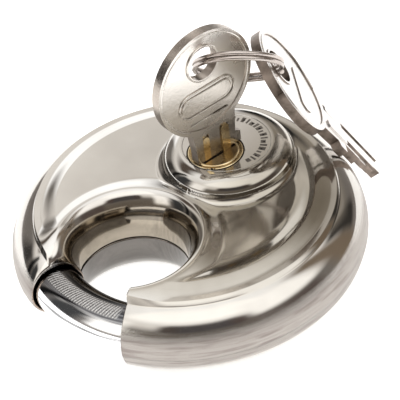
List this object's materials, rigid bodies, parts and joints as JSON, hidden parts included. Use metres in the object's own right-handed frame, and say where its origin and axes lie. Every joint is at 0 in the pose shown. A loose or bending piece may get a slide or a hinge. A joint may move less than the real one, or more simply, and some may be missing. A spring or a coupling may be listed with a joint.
{
  "type": "disc padlock",
  "caption": "Round disc padlock with a shrouded turning shackle, a raised boss with a pin cylinder, a key in the lock, and a split ring with a hanging spare key.",
  "frame": {"origin": "on the disc's axis, at the flat back face that the lock rests on", "axes": "+Z out of the front face, towards the key; -Y from the disc's axis towards the shackle opening; +X to the right when the front is seen with the opening below"},
  "size_m": [0.07, 0.0738, 0.052],
  "materials": {
    "shell_steel": "polished stainless steel with a brushed edge",
    "shackle_steel": "polished hardened steel",
    "inner_steel": "plain pressed steel",
    "hard_steel": "ground hardened steel",
    "brass": "turned brass",
    "plug_brass": "bright turned brass",
    "spring_steel": "spring wire",
    "key_nickel": "nickel-plated brass, worn",
    "ring_steel": "plated spring steel"
  },
  "bodies": {
    "casing": {"upper_shell": "shell_steel", "lower_shell": "shell_steel", "cylinder_housing": "brass", "driver_pins": "hard_steel", "pin_springs": "spring_steel", "chamber_stoppers": "brass", "anti_drill_plate": "hard_steel", "floor_plate": "inner_steel", "spacer_posts": "inner_steel", "housing_screws": "hard_steel", "upper_guide": "inner_steel", "lower_guide": "inner_steel", "guide_studs": "hard_steel", "mouth_guide": "hard_steel", "tip_keeper": "hard_steel"},
    "shackle": {"shackle": "shackle_steel", "drive_plate": "inner_steel", "drive_rivets": "hard_steel"},
    "plug": {"plug": "plug_brass", "key_pins": "brass", "cam_plate": "inner_steel", "cam_screws": "hard_steel", "crank_pin": "hard_steel"},
    "key": {"key": "key_nickel"},
    "ring": {"split_ring": "ring_steel"},
    "spare_key": {"spare_key": "key_nickel"}
  },
  "joints": [
    {"name": "shackle_turn", "type": "hinge", "parent": "casing", "child": "shackle", "pos_m": [0, 0, 0.0097], "axis": [0, 0, -1], "range_deg": [0, 60]},
    {"name": "plug_turn", "type": "hinge", "parent": "casing", "child": "plug", "pos_m": [0, 0.0098, 0.0097], "axis": [0, 0, -1], "range_deg": [0, 120]},
    {"name": "key_slide", "type": "slide", "parent": "plug", "child": "key", "axis": [0, 0, 1], "range_m": [0, 0.024]},
    {"name": "ring_swing", "type": "hinge", "parent": "key", "child": "ring", "pos_m": [-0.00016, 0.00881, 0.0453], "axis": [0.9877, -0.1564, 0], "range_deg": [0, 60]},
    {"name": "spare_swing", "type": "hinge", "parent": "ring", "child": "spare_key", "pos_m": [0.007, 0.0217, 0.03835], "axis": [0.5929, 0.6369, 0.4927], "range_deg": [0, 35]}
  ],
  "couplings": [
    {"joint": "plug_turn", "follows": "shackle_turn", "ratio": 2},
    {"joint": "ring_swing", "follows": "shackle_turn", "ratio": 1}
  ]
}
